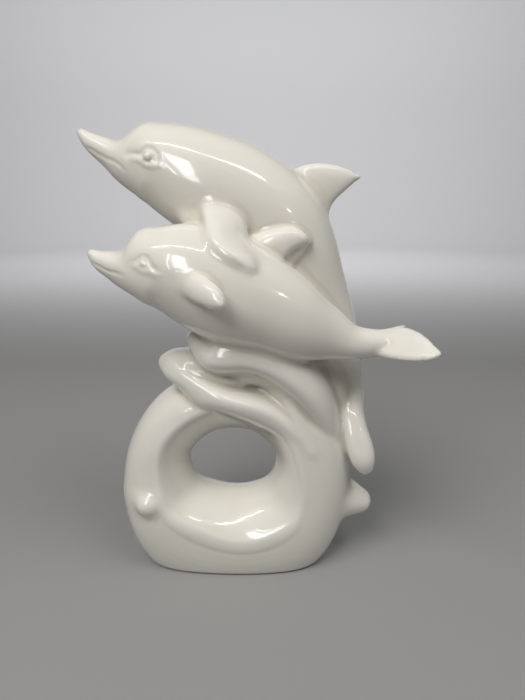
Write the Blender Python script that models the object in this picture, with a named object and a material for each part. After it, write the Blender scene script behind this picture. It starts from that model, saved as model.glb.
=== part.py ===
"""Pair of porcelain dolphins leaping over a curling wave: one slip-cast piece, standing on its own foot.

Metres, +Z up. The origin is the middle of the foot; the dolphins' beaks point to -X and their near
sides face -Y. Every form is first made as a plain loft, and the lofts are then fused with soft
fillets, the way a modeller joins rolls of clay before a plaster mould is taken from them.
"""

import math

import bmesh
import bpy
import numpy as np

# Driving sizes
HEIGHT = 0.305
MODELLED_HEIGHT = 305
MM = HEIGHT / MODELLED_HEIGHT
BASE_DEPTH = 0.066
HOLE_WIDTH = 0.062
HOLE_HEIGHT = 0.0485
HOLE_X = -0.001
HOLE_Z = 0.0788
HOLE_BAND = 0.005
FOOT_ROUND = 0.004

# How finely the lofts are turned and the fused clay is meshed
LOFT_SIDES = 40
LOFT_STEP = 4.0 * MM
CELL = 3.0 * MM
SETTLE_STEPS = 2
MOST_TRIANGLES = 9500
MARGIN = 6 * MM

SIDEWAYS = (0, -1, 0)


def natural_spline(rows, step):
    """Points along a smooth natural cubic spline through rows, whose first three columns are places."""
    rows = np.array(rows, float)
    gaps = np.linalg.norm(np.diff(rows[:, :3], axis=0), axis=1)
    knots = np.concatenate([[0], np.cumsum(gaps)])
    system = np.eye(len(rows))
    load = np.zeros_like(rows)
    for i in range(1, len(rows) - 1):
        before, after = gaps[i - 1], gaps[i]
        system[i, i - 1 : i + 2] = before, 2 * (before + after), after
        load[i] = 6 * ((rows[i + 1] - rows[i]) / after - (rows[i] - rows[i - 1]) / before)
    bend = np.linalg.solve(system, load)
    at = np.linspace(0, knots[-1], max(2, round(knots[-1] / step) + 1))
    i = np.clip(np.searchsorted(knots, at, side="right") - 1, 0, len(gaps) - 1)
    gap = gaps[i][:, None]
    b = (at - knots[i])[:, None] / gap
    a = 1 - b
    return a * rows[i] + b * rows[i + 1] + ((a**3 - a) * bend[i] + (b**3 - b) * bend[i + 1]) * gap**2 / 6


def mesh_from_rings(name, rings):
    """A closed mesh from a list of equal rings of points, with its two ends drawn in to a point."""
    mesh = bmesh.new()
    loops = [[mesh.verts.new(p) for p in ring] for ring in rings]
    for low, high in zip(loops, loops[1:]):
        for i in range(len(low)):
            j = (i + 1) % len(low)
            mesh.faces.new((low[i], low[j], high[j], high[i]))
    for loop in (loops[0], loops[-1]):
        middle = mesh.verts.new(np.mean([v.co for v in loop], axis=0))
        for i in range(len(loop)):
            mesh.faces.new((loop[i], loop[(i + 1) % len(loop)], middle))
    return finish_form(name, mesh)


def finish_form(name, mesh):
    """A hidden helper object from the mesh, which only the fused figure reads."""
    bmesh.ops.recalc_face_normals(mesh, faces=mesh.faces)
    data = bpy.data.meshes.new(name)
    mesh.to_mesh(data)
    mesh.free()
    data.shade_smooth()
    form = bpy.data.objects.new(name, data)
    form.hide_render = True
    form.display_type = "WIRE"
    bpy.context.scene.collection.objects.link(form)
    return form


def unit(vectors):
    return vectors / np.linalg.norm(vectors, axis=-1, keepdims=True)


def end_cap(ring, i, centres, sizes, direction):
    """Rings that round off a loft's end, starting at the slope with which its last two sizes draw in."""
    run = np.linalg.norm(centres[1] - centres[0])
    slope = math.atan2(max(0, sizes[0] - sizes[1]), run)
    radius = sizes[1] / math.cos(slope)
    bends = np.linspace(slope, math.pi / 2, 7)[1:-1]
    return [ring(i, math.cos(b) / math.cos(slope), direction * radius * (math.sin(b) - math.sin(slope)))
            for b in bends]


def roll(name, rows, side=SIDEWAYS, square=2.0, turns=LOFT_SIDES):
    """A roll of clay. Each row is x, y, z, then its reach up, down and to each side, all in millimetres."""
    path = natural_spline(np.array(rows, float) * MM, LOFT_STEP)
    centre, reach = path[:, :3], path[:, 3:]
    along = unit(np.gradient(centre, axis=0))
    side = np.array(side, float)
    side = unit(side - (along @ side)[:, None] * along)
    up = np.cross(side, along)
    angle = np.linspace(0, 2 * math.pi, turns, endpoint=False)
    cos = np.sign(np.cos(angle)) * np.abs(np.cos(angle)) ** (2 / square)
    sin = np.sign(np.sin(angle)) * np.abs(np.sin(angle)) ** (2 / square)

    def ring(i, scale, ahead):
        height = np.where(sin > 0, reach[i, 0], reach[i, 1]) * scale
        width = reach[i, 2] * scale
        return centre[i] + ahead * along[i] + np.outer(sin * height, up[i]) + np.outer(cos * width, side[i])

    rings = [ring(i, 1, 0) for i in range(len(path))]
    first = end_cap(ring, 0, centre[1::-1], reach[1::-1].min(axis=1), -1)[::-1]
    last = end_cap(ring, len(path) - 1, centre[-2:], reach[-2:].min(axis=1), 1)
    return mesh_from_rings(name, first + rings + last)


def fin(name, rows, blunt=0.8, keen=0.8, turns=LOFT_SIDES):
    """A fin. Each row is its front edge x, y, z, its rear edge x, y, z, and its thickness, in millimetres."""
    path = natural_spline(np.array(rows, float) * MM, LOFT_STEP)
    front, rear, thick = path[:, :3], path[:, 3:6], path[:, 6]
    middle, chord = (front + rear) / 2, rear - front
    outward = unit(np.gradient(middle, axis=0))
    normal = unit(np.cross(outward, chord))
    angle = np.linspace(0, 2 * math.pi, turns, endpoint=False)
    # A blunt fin keeps its thickness up to a flat rear face, and a keen one is drawn out in front
    swell = np.sign(np.sin(angle)) * np.abs(np.sin(angle)) ** np.where(np.cos(angle) > 0, blunt, keen) / 2

    def ring(i, scale, ahead):
        spread = np.outer(np.cos(angle) * scale / 2, chord[i])
        return middle[i] + ahead * outward[i] + spread + np.outer(swell * thick[i] * scale, normal[i])

    rings = [ring(i, 1, 0) for i in range(len(path))]
    half = np.linalg.norm(chord[-2:], axis=1) / 2
    return mesh_from_rings(name, rings + end_cap(ring, len(path) - 1, middle[-2:], half, 1))


def wave_ring(name, rows, square=1.25):
    """The wave's ring. Each row is one way out from the hole: outer x, z and rim x, z in millimetres, then
    how far along the hole's half width and half height its edge is, the share of full depth, and fullness."""
    rows = np.array(rows, float)
    rows[:, :4] *= MM
    rows[:, 4] = HOLE_X + rows[:, 4] * HOLE_WIDTH / 2
    rows[:, 5] = HOLE_Z + rows[:, 5] * HOLE_HEIGHT / 2
    rows[:, 6] *= BASE_DEPTH / 2
    path = natural_spline(np.insert(np.tile(rows, (3, 1)), 1, 0, axis=1), LOFT_STEP)
    third = len(path) // 3
    path = path[third : 2 * third]
    angle = np.linspace(0, 2 * math.pi, LOFT_SIDES, endpoint=False)
    cos, sin = np.cos(angle)[:, None], np.sin(angle)[:, None]
    mesh = bmesh.new()
    loops = []
    for outer_x, _, outer_z, rim_x, rim_z, hole_x, hole_z, depth, fullness in path:
        outer, rim, hole = np.array([(outer_x, 0, outer_z), (rim_x, 0, rim_z), (hole_x, 0, hole_z)])
        power = 2 / np.where(cos > 0, fullness, square)
        reach = np.abs(cos) ** power * np.where(cos > 0, outer - rim, hole - rim)
        band = np.where(cos > 0, 0, HOLE_BAND / 2)
        swell = np.sign(np.round(sin, 9)) * (band + (depth - band) * np.abs(sin) ** power) * np.array((0, 1, 0))
        loops.append([mesh.verts.new(p) for p in rim + reach + swell])
    for low, high in zip(loops, loops[1:] + loops[:1]):
        for i in range(len(low)):
            j = (i + 1) % len(low)
            mesh.faces.new((low[i], low[j], high[j], high[i]))
    return finish_form(name, mesh)


def forms():
    """Every form and the width of the fillet that joins it to those before it, in millimetres."""
    return [
        (wave_ring("ring_form", [
            (83.5, 68, 46, 72, 0.99, -0.06, 0.88, 2.2),
            (74, 106, 38, 102, 0.89, 0.43, 0.85, 2.2),
            (44, 134, 20, 122, 0.48, 0.88, 0.79, 2.2),
            (0, 140, -6, 126, -0.03, 1, 0.76, 2.2),
            (-43, 133, -29, 119, -0.53, 0.83, 0.76, 2.2),
            (-67, 109, -46, 102, -0.89, 0.43, 0.79, 2.2),
            (-80, 70, -51, 76, -1, -0.06, 0.82, 2.3),
            (-79.5, 36, -47, 55, -0.88, -0.57, 0.91, 2.4),
            (-57, -8, -27, 41, -0.48, -0.9, 0.97, 2.6),
            (0, -20, 4, 30, 0.03, -1, 1, 2.7),
            (56, -8, 33, 39, 0.48, -0.91, 0.97, 2.6),
            (80, 34, 45, 53, 0.87, -0.57, 0.91, 2.3),
        ]), 0),
        (roll("crest_low_form", [
            (62, 0, 74, 14, 14, 23),
            (54, 0, 91, 14, 13, 26),
            (44, 0, 106, 15.5, 11, 28),
            (32, -1, 118.5, 17, 9.5, 29),
            (20, -2, 127, 19, 8, 29.5),
            (6, -3, 132, 17, 8, 29.5),
            (-8, -3, 136.5, 17, 8, 28.5),
            (-20, -3, 142, 20.5, 8.5, 25),
            (-26, -3.5, 144.7, 17, 9, 22.8),
            (-31.5, -4, 147.3, 12.5, 9.5, 19.8),
            (-39, -4, 150.5, 10.5, 10.5, 15.5),
            (-44.5, -4, 152.5, 8.2, 8.5, 10.5),
            (-48, -4, 153.5, 5, 5, 6),
        ], square=2.2), 3),
        (roll("lobe_web_form", [
            (-36, -4, 152, 9.5, 8, 12),
            (-29, -4, 152, 10.5, 9, 15.5),
            (-21, -4, 150.5, 12, 10, 18.5),
            (-12, -3.5, 148, 10.5, 10, 20.5),
            (-2, -3, 145, 8.5, 9, 20.5),
            (8, -3, 142.5, 6, 8, 17),
        ]), 4),
        (roll("crest_high_form", [
            (66, 2, 90, 15, 18, 17),
            (60.5, 1, 114, 15, 15, 23),
            (50.5, -1, 133.5, 14, 17, 27),
            (37, -3, 148, 14, 18.5, 28.5),
            (22, -4, 157.5, 13.5, 19.5, 29),
            (6, -5, 161.5, 14, 18.5, 28.5),
            (-7, -6, 162, 15, 19, 27),
            (-16, -6.5, 165, 13.5, 18, 23),
            (-22.5, -7, 169.3, 9, 11, 14),
            (-27, -7, 172, 5, 5, 8),
        ]), 2),
        (roll("wave_web_form", [
            (-9, -2, 152, 7, 8, 13),
            (0, -2, 150, 8, 9, 19),
            (11, -2, 149, 8, 11, 21.5),
            (22, -2, 147.5, 8.5, 12, 21),
            (31, -1, 140, 10, 12, 21.5),
            (38, -1, 129, 11, 12, 24.5),
            (45, 0, 113, 12, 12, 27),
            (52, 0, 96, 12, 12, 27),
        ]), 5),
        (roll("tail_web_form", [
            (34, 6, 168, 12, 12, 12),
            (52, 6, 152, 14, 14, 14),
            (72, 6, 118, 12, 12, 13),
            (76, 5, 96, 10, 10, 12),
        ]), 4),
        (roll("spur_right_form", [
            (64, 0, 48, 21, 20, 18),
            (76, 0, 46, 17.5, 17, 16.5),
            (87, 0, 43.6, 13, 12.5, 12.5),
            (95.5, 0, 41.8, 8.6, 8.4, 8.4),
        ]), 6),
        (roll("spur_near_form", [
            (-63, -8, 56, 14, 14, 14),
            (-60.5, -18, 56.5, 10.5, 10.5, 10.5),
            (-58.7, -27.5, 56.5, 7.5, 7.5, 7.5),
        ], side=(1, 0, 0)), 9),
        (roll("apron_near_form", [
            (-38, -13, 50, 7, 10, 13),
            (-22, -12.3, 41.5, 7.5, 10, 16.5),
            (-5, -11.4, 37, 8, 10, 18.5),
            (9, -11.4, 36.4, 8, 10, 18.5),
            (26, -12.2, 40, 7.5, 10, 16.5),
            (42, -13, 49.5, 7, 10, 13),
        ], side=(0, -0.77, -0.64), square=3.0), 6),
        (roll("apron_far_form", [
            (-38, 13, 50, 7, 10, 13),
            (-22, 12.3, 41.5, 7.5, 10, 16.5),
            (-5, 11.4, 37, 8, 10, 18.5),
            (9, 11.4, 36.4, 8, 10, 18.5),
            (26, 12.2, 40, 7.5, 10, 16.5),
            (42, 13, 49.5, 7, 10, 13),
        ], side=(0, -0.77, 0.64), square=3.0), 6),
        (roll("large_body_form", [
            (-70, 14, 288.3, 6.5, 15, 9),
            (-66, 14, 287, 12.5, 17.5, 13),
            (-61, 14, 285.4, 18.5, 20, 16.5),
            (-52.8, 14, 282.8, 23, 23.5, 21),
            (-37.8, 14, 276.5, 28.8, 28.5, 25),
            (-19, 14, 268, 32.6, 32.6, 27.5),
            (-1, 14, 260, 34.6, 34, 28),
            (16.5, 14, 250.7, 34, 34, 28),
            (27.3, 14, 241.8, 33.5, 33, 27.5),
            (35.5, 14, 230.9, 32, 31, 26.5),
            (45.9, 14, 208.5, 29, 28, 24),
            (56.3, 14, 187.9, 25, 24, 20),
            (66.4, 14, 168.6, 20.5, 20, 16),
            (77.8, 14, 138.3, 14, 14, 11.5),
            (84, 13, 120, 10, 10, 10),
            (86, 12, 110, 7, 7, 8),
        ]), 8),
        (roll("large_beak_form", [
            (-94.3, 14, 298.6, 2.6, 2.6, 2.8),
            (-88.8, 14, 293.3, 5.4, 5.6, 5.2),
            (-79.8, 14, 288.4, 7.3, 9, 8.5),
            (-71, 14, 284, 9.3, 12.3, 12.2),
            (-62, 14, 279, 11, 14.5, 16.2),
            (-50, 14, 272, 8, 15, 19),
        ]), 7),
        (fin("large_dorsal_form", [
            (30, 14, 264, 50, 14, 238, 13),
            (42, 14, 277, 62.5, 14, 250, 11),
            (52, 14, 280, 66, 14, 256, 9.5),
            (62, 14, 279.8, 71, 14, 261.3, 8),
            (71, 14, 277.9, 75.5, 14, 265.3, 6),
            (78, 14, 275.2, 79.5, 14, 268.8, 4),
            (82.6, 14, 272.3, 82.8, 14, 271, 2),
        ]), 8),
        (roll("large_fluke_near_form", [
            (82, 9, 122, 11, 10, 10),
            (82, -6, 109, 10, 8, 9),
            (85, -12.5, 97, 10.5, 8, 8),
            (88.3, -15, 88, 9.7, 8.3, 7.5),
            (91, -15.5, 81.5, 7.3, 7, 6.3),
            (93, -15.5, 77, 4.6, 4.6, 4.2),
        ], square=2.5), 4),
        (roll("large_fluke_far_form", [
            (84, 18, 122, 10, 8, 10),
            (86, 27, 108, 9, 8.5, 9),
            (88.5, 33, 96, 9, 9.5, 8),
            (89.5, 36, 86, 9.5, 9.5, 7.5),
            (91.5, 37, 78, 8, 7.5, 6),
            (94, 37.5, 73.5, 4.5, 4.5, 4),
        ]), 4),
        (roll("small_body_form", [
            (-66, -20, 223.6, 5, 13, 8),
            (-62, -20, 222.6, 11.3, 15.5, 12),
            (-57, -20, 221.9, 18, 18.5, 15.5),
            (-47.5, -20, 220.3, 22.6, 23.5, 20),
            (-33.3, -20, 217.5, 27.5, 28.5, 23.5),
            (-17, -20, 211.5, 31, 31.8, 25.5),
            (4.3, -20, 201.4, 32.6, 32.6, 25.5),
            (25.2, -20, 193, 29, 29, 23),
            (45.8, -20, 182, 23.5, 23.9, 19),
            (64, -19, 174.8, 16.4, 16.4, 13),
            (76.3, -18, 170.6, 11.6, 11.6, 10.5),
            (90.6, -16, 169.8, 8.8, 9.5, 9),
            (101, -14, 171, 6, 6, 8),
        ]), 7),
        (roll("small_beak_form", [
            (-83.8, -20, 227.3, 2.5, 2.6, 2.9),
            (-79, -20, 223.7, 5, 6.2, 5.4),
            (-72.7, -20, 221.4, 6.9, 9.3, 8.7),
            (-65, -20, 219, 7.4, 11.8, 12),
            (-56, -20, 215, 7, 13, 15.5),
            (-46, -20, 210.5, 8, 14, 18),
        ]), 7),
        (fin("small_dorsal_far_form", [
            (6.1, -11.5, 232.2, 39.2, -11.5, 211.8, 9),
            (17.2, -11.5, 236.1, 39.1, -11.5, 217.5, 9),
            (24.6, -11.5, 239.7, 41.5, -11.5, 222.4, 8.5),
            (33.1, -11.5, 241.8, 44.5, -11.5, 226.1, 8),
            (41.7, -12, 240.9, 47.5, -12, 229.5, 7),
            (47.3, -12.5, 236.8, 49.8, -12.5, 232, 5),
        ], blunt=0.6), 4),
        (fin("small_dorsal_near_form", [
            (3.8, -14.5, 232.4, 33.3, -15.5, 214.9, 10),
            (14.8, -14.5, 236.3, 32.9, -15.5, 221.7, 10),
            (23.3, -14.5, 239.9, 35.3, -15.5, 225.3, 9.5),
            (31.8, -14.5, 241.6, 39.3, -15.5, 228.9, 9),
            (40.3, -15, 241.1, 43.5, -15.5, 231, 7),
            (45.1, -15.5, 238.5, 46.5, -15.5, 232.5, 5),
        ], blunt=0.6, keen=1.2), 4),
        (roll("throat_web_form", [
            (-27, -3, 247, 5, 5, 6),
            (-18, -4, 245, 9, 9, 10),
            (-9, -5, 241, 10, 10, 12),
            (0, -4, 236, 9, 9, 10),
        ]), 10),
        (roll("bridge_form", [
            (-16, -3, 236, 10, 10, 13),
            (8, -4, 226, 10, 12, 13.5),
            (30, -3, 211, 12.5, 14, 14),
            (48, -2, 195, 12, 12, 14),
            (64, 0, 180, 10, 10, 12),
        ]), 4),
        (fin("large_pectoral_near_form", [
            (-18.2, -3, 260, 3.7, -3, 255, 12),
            (-16.2, -14.5, 250.1, 9.3, -12, 244.8, 13),
            (-13.4, -27, 242.5, 11.2, -15.5, 237.9, 13),
            (-10.4, -36, 235.8, 12.5, -19, 232.2, 12),
            (-6.2, -40, 230.6, 13.8, -26, 228.1, 10.5),
            (0.1, -42, 226.4, 15, -30.5, 224.5, 9),
            (6.8, -42, 222.5, 15.9, -34, 221.5, 7.5),
            (11.2, -41.5, 219.6, 15.7, -36.5, 218.9, 5.5),
        ], blunt=1.3, keen=0.7), 6),
        (fin("large_pectoral_far_form", [
            (-20, 34, 256, 4, 34, 250, 12),
            (-14, 46, 246, 14, 44, 240, 12),
            (-4, 54, 232, 18, 52, 228, 10),
            (8, 59, 219, 22, 58, 217, 7),
            (18, 61, 209, 24, 61, 208, 3.4),
        ]), 8),
        (fin("small_pectoral_near_form", [
            (-25, -39, 206.5, -20, -39, 218, 11),
            (-19.2, -46.5, 203, -12.6, -46.5, 216.5, 11),
            (-12.3, -51.5, 200.8, -7, -51.5, 213.6, 10),
            (-6.3, -55, 199.8, -2.2, -55, 209, 8),
            (-2.2, -57, 200.3, -0.4, -57, 204.2, 5),
        ]), 5),
        (fin("small_pectoral_far_form", [
            (-25, -1, 206.5, -20, -1, 218, 11),
            (-19.2, 6.5, 203, -12.6, 6.5, 216.5, 11),
            (-12.3, 11.5, 200.8, -7, 11.5, 213.6, 10),
            (-6.3, 15, 199.8, -2.2, 15, 209, 8),
            (-2.2, 17, 200.3, -0.4, 17, 204.2, 5),
        ]), 5),
        (fin("small_fluke_near_form", [
            (88, -16, 163.5, 106, -12, 176, 9),
            (96, -26, 163, 112, -15, 178.5, 8),
            (105, -35, 163.8, 116.5, -21, 178.3, 7),
            (112.5, -41, 165.2, 120, -29, 177, 6),
            (119, -44, 166.7, 123, -37, 174, 5),
            (123.5, -45.5, 169, 125.3, -43.5, 171.5, 3),
        ]), 5),
        (fin("small_fluke_far_form", [
            (87, -14, 163.5, 105, -14, 176, 9),
            (94, -2, 163, 110, -12, 178, 8),
            (102, 6, 163.8, 114, -6, 177.5, 7),
            (109, 12, 165.2, 116.5, 1, 176, 6),
            (115, 15, 166.7, 118.5, 8, 174, 5),
            (118.5, 16.5, 169, 120, 14, 171.5, 3),
        ]), 5),
        (roll("large_eye_near_form", [
            (-48, -3, 282.3, 3.5, 3.5, 3.5),
            (-48, -7, 282.3, 3.4, 3.4, 3.4),
        ], side=(1, 0, 0)), 1),
        (roll("large_eye_far_form", [
            (-48, 31, 282.3, 3.5, 3.5, 3.5),
            (-48, 35, 282.3, 3.4, 3.4, 3.4),
        ], side=(1, 0, 0)), 1),
        (roll("small_eye_near_form", [
            (-47.8, -34.4, 222.4, 2.4, 2.4, 2.4),
            (-47.8, -38, 222.4, 2.3, 2.3, 2.3),
        ], side=(1, 0, 0)), 1),
        (roll("small_eye_far_form", [
            (-47.8, -5.6, 222.4, 2.4, 2.4, 2.4),
            (-47.8, -2, 222.4, 2.3, 2.3, 2.3),
        ], side=(1, 0, 0)), 1),
    ]


class Tree:
    """A short way to build one geometry node tree."""

    def __init__(self, name):
        self.group = bpy.data.node_groups.new(name, "GeometryNodeTree")
        self.group.interface.new_socket("Geometry", in_out="OUTPUT", socket_type="NodeSocketGeometry")

    def node(self, kind, settings=None, **inputs):
        made = self.group.nodes.new(kind)
        for setting, value in (settings or {}).items():
            setattr(made, setting, value)
        for key, value in inputs.items():
            socket = made.inputs[int(key[1:])] if key[0] == "n" and key[1:].isdigit() else made.inputs[key]
            if isinstance(value, bpy.types.NodeSocket):
                self.group.links.new(value, socket)
            else:
                socket.default_value = value
        return made

    def math(self, operation, *values):
        inputs = {f"n{i}": value for i, value in enumerate(values)}
        return self.node("ShaderNodeMath", {"operation": operation}, **inputs).outputs[0]


def distance_to(tree, form):
    """The signed distance from any place to a form's surface, negative inside it."""
    surface = tree.node("GeometryNodeObjectInfo", Object=form).outputs["Geometry"]
    place = tree.node("GeometryNodeInputPosition").outputs[0]
    normal = tree.node("GeometryNodeInputNormal").outputs[0]
    level = tree.node("ShaderNodeVectorMath", {"operation": "DOT_PRODUCT"}, n0=place, n1=normal).outputs["Value"]
    parts = tree.node("ShaderNodeSeparateXYZ", n0=normal).outputs
    plane = tree.node("FunctionNodeCombineColor", Red=parts[0], Green=parts[1], Blue=parts[2], Alpha=level)
    nearest = tree.node("GeometryNodeSampleNearestSurface", {"data_type": "FLOAT_COLOR"}, Mesh=surface,
                        Value=plane.outputs[0])
    parts = tree.node("FunctionNodeSeparateColor", n0=nearest.outputs["Value"]).outputs
    normal = tree.node("ShaderNodeCombineXYZ", X=parts[0], Y=parts[1], Z=parts[2]).outputs[0]
    level = tree.node("ShaderNodeVectorMath", {"operation": "DOT_PRODUCT"}, n0=place, n1=normal).outputs["Value"]
    return tree.math("SUBTRACT", level, parts[3])


def glazed_porcelain():
    material = bpy.data.materials.new("glazed_porcelain")
    material.use_nodes = True
    shader = material.node_tree.nodes["Principled BSDF"]
    shader.inputs["Base Color"].default_value = (0.80, 0.78, 0.72, 1)
    shader.inputs["Roughness"].default_value = 0.12
    shader.inputs["Coat Weight"].default_value = 0.6
    return material


def fuse(name, members, low, high):
    """One object whose node tree joins the forms with fillets and stands them on a flat foot."""
    tree = Tree("fuse_clay")
    distance = None
    for form, fillet in members:
        own = distance_to(tree, form)
        distance = own if distance is None else tree.math("SMOOTH_MIN", distance, own, fillet * MM)
    place = tree.node("GeometryNodeInputPosition").outputs[0]
    height = tree.node("ShaderNodeSeparateXYZ", n0=place).outputs["Z"]
    below = tree.math("MULTIPLY", height, -1.0)
    distance = tree.math("SMOOTH_MAX", distance, below, FOOT_ROUND)
    density = tree.math("SUBTRACT", 1.0, tree.math("DIVIDE", distance, CELL))
    counts = [math.ceil((b - a) / CELL) for a, b in zip(low, high)]
    top = [a + n * CELL for a, n in zip(low, counts)]
    cube = tree.node("GeometryNodeVolumeCube", n0=density, n1=0.0, n2=tuple(low), n3=tuple(top),
                     n4=counts[0], n5=counts[1], n6=counts[2])
    skin = tree.node("GeometryNodeVolumeToMesh", Volume=cube.outputs[0], Threshold=1.0).outputs[0]
    place = tree.node("GeometryNodeInputPosition").outputs[0]
    even = tree.node("GeometryNodeBlurAttribute", {"data_type": "FLOAT_VECTOR"}, Value=place, Iterations=1).outputs[0]
    for _ in range(SETTLE_STEPS):
        # Spread the points evenly, then let them settle back onto the surface
        skin = tree.node("GeometryNodeSetPosition", Geometry=skin, Position=even).outputs[0]
        for _ in range(2):
            normal = tree.node("GeometryNodeInputNormal").outputs[0]
            inward = tree.math("MULTIPLY", distance, -1.0)
            move = tree.node("ShaderNodeVectorMath", {"operation": "SCALE"}, Vector=normal, Scale=inward).outputs[0]
            skin = tree.node("GeometryNodeSetPosition", Geometry=skin, Offset=move).outputs[0]
    skin = tree.node("GeometryNodeSetShadeSmooth", n0=skin).outputs[0]
    skin = tree.node("GeometryNodeSetMaterial", Geometry=skin, Material=glazed_porcelain()).outputs[0]
    out = tree.node("NodeGroupOutput")
    tree.group.links.new(skin, out.inputs[0])
    figure = bpy.data.objects.new(name, bpy.data.meshes.new(name))
    bpy.context.scene.collection.objects.link(figure)
    modifier = figure.modifiers.new("fuse", "NODES")
    modifier.node_group = tree.group
    return figure


def settled_mesh(fused):
    """The mesh that the node tree makes, kept on its own."""
    made = fused.evaluated_get(bpy.context.evaluated_depsgraph_get())
    return bpy.data.meshes.new_from_object(made)


def main():
    for thing in list(bpy.data.objects):
        bpy.data.objects.remove(thing)
    members = forms()
    corners = np.array([v.co for form, _ in members for v in form.data.vertices])
    low, high = corners.min(0) - MARGIN, corners.max(0) + MARGIN
    low[2] = -MARGIN
    fused = fuse("fused_forms", members, low, high)
    mesh = settled_mesh(fused)
    mesh.name = "dolphin_figurine"
    for thing in list(bpy.data.objects):
        bpy.data.objects.remove(thing)
    figure = bpy.data.objects.new("dolphin_figurine", mesh)
    bpy.context.scene.collection.objects.link(figure)
    triangles = sum(len(face.vertices) - 2 for face in mesh.polygons)
    # Fewer, larger facets where the clay is nearly flat
    modifier = figure.modifiers.new("facet", "DECIMATE")
    modifier.ratio = min(1, MOST_TRIANGLES / triangles)


main()
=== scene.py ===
# %% [markdown]
# # A pair of porcelain dolphins over a wave
# This lesson dresses one slip-cast figurine: two dolphins that leap over a curling wave, glazed warm white.
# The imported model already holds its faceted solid. Here the same clay is built again, finer and smooth,
# with its carved eyes, brows and mouths, and it gets its glaze, a plain studio and a camera.
# Lengths in the tables are millimetres, and everything in Blender is metres, with +Z up.

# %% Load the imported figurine
import math

import bmesh
import bpy
import numpy as np
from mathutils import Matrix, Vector
from mathutils.bvhtree import BVHTree


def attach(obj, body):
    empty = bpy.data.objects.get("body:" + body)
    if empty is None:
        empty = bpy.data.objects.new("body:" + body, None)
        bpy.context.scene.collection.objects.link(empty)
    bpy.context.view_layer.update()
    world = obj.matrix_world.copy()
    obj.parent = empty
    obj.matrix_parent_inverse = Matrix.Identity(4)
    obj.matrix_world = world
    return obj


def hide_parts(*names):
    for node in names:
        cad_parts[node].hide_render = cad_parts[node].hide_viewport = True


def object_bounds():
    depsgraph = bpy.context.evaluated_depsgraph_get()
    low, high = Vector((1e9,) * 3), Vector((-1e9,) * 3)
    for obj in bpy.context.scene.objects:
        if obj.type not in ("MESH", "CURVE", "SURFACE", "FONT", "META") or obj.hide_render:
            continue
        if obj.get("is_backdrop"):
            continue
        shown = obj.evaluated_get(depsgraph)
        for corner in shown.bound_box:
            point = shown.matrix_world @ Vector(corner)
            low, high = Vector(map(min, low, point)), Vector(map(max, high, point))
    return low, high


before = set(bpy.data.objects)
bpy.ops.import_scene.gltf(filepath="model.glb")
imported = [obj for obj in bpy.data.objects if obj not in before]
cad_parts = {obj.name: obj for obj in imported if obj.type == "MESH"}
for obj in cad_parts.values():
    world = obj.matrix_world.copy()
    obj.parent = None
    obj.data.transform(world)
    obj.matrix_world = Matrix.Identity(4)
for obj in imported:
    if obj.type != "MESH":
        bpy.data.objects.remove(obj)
cad_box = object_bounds()
scene = bpy.context.scene
print("solid box", [tuple(round(v, 4) for v in corner) for corner in cad_box])

# %% [markdown]
# ## The clay, in plain lofts
# A modeller of such a piece starts with rolls of clay for the bodies, flat tongues for the fins and a thick
# ring for the wave. Each becomes one closed loft here. A loft needs only a few rows of numbers, so the pose
# can be corrected row by row against a photograph, which sculpted points would not allow.

# %% Name the sizes of the clay
MM = 0.001
CELL = 3.2 * MM
LOFT_SIDES = 56
LOFT_STEP = 3 * MM
FOOT_ROUND = 4 * MM
HALF_BASE = 33 * MM
HOLE_BAND = 5 * MM
HOLE_MIDDLE = np.array((-1, 78.8)) * MM
HOLE_HALF = np.array((31, 24.25)) * MM
SIDEWAYS = (0, -1, 0)
NEAR, FAR = -1, 1
LARGE_MIDDLE = 14 * MM
SMALL_MIDDLE = -20 * MM
print("the wave's hole is", HOLE_HALF * 2 / MM, "mm")


# %% Draw a smooth line through the rows of a table
def smooth_rows(rows, step):
    """Rows along a natural cubic spline through rows, whose first three columns are places."""
    rows = np.array(rows, float)
    gaps = np.linalg.norm(np.diff(rows[:, :3], axis=0), axis=1)
    knots = np.concatenate([[0], np.cumsum(gaps)])
    system = np.eye(len(rows))
    load = np.zeros_like(rows)
    for i in range(1, len(rows) - 1):
        before, after = gaps[i - 1], gaps[i]
        system[i, i - 1 : i + 2] = before, 2 * (before + after), after
        load[i] = 6 * ((rows[i + 1] - rows[i]) / after - (rows[i] - rows[i - 1]) / before)
    bend = np.linalg.solve(system, load)
    at = np.linspace(0, knots[-1], max(2, round(knots[-1] / step) + 1))
    i = np.clip(np.searchsorted(knots, at, side="right") - 1, 0, len(gaps) - 1)
    gap = gaps[i][:, None]
    b = (at - knots[i])[:, None] / gap
    a = 1 - b
    return a * rows[i] + b * rows[i + 1] + ((a**3 - a) * bend[i] + (b**3 - b) * bend[i + 1]) * gap**2 / 6


def unit(vectors):
    """Each vector, or row of an array, at length 1."""
    return vectors / np.linalg.norm(vectors, axis=-1, keepdims=True)


print("a smooth line through three rows has", len(smooth_rows([(0, 0, 0), (5, 0, 3), (9, 0, 9)], 1)), "rows")


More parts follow.
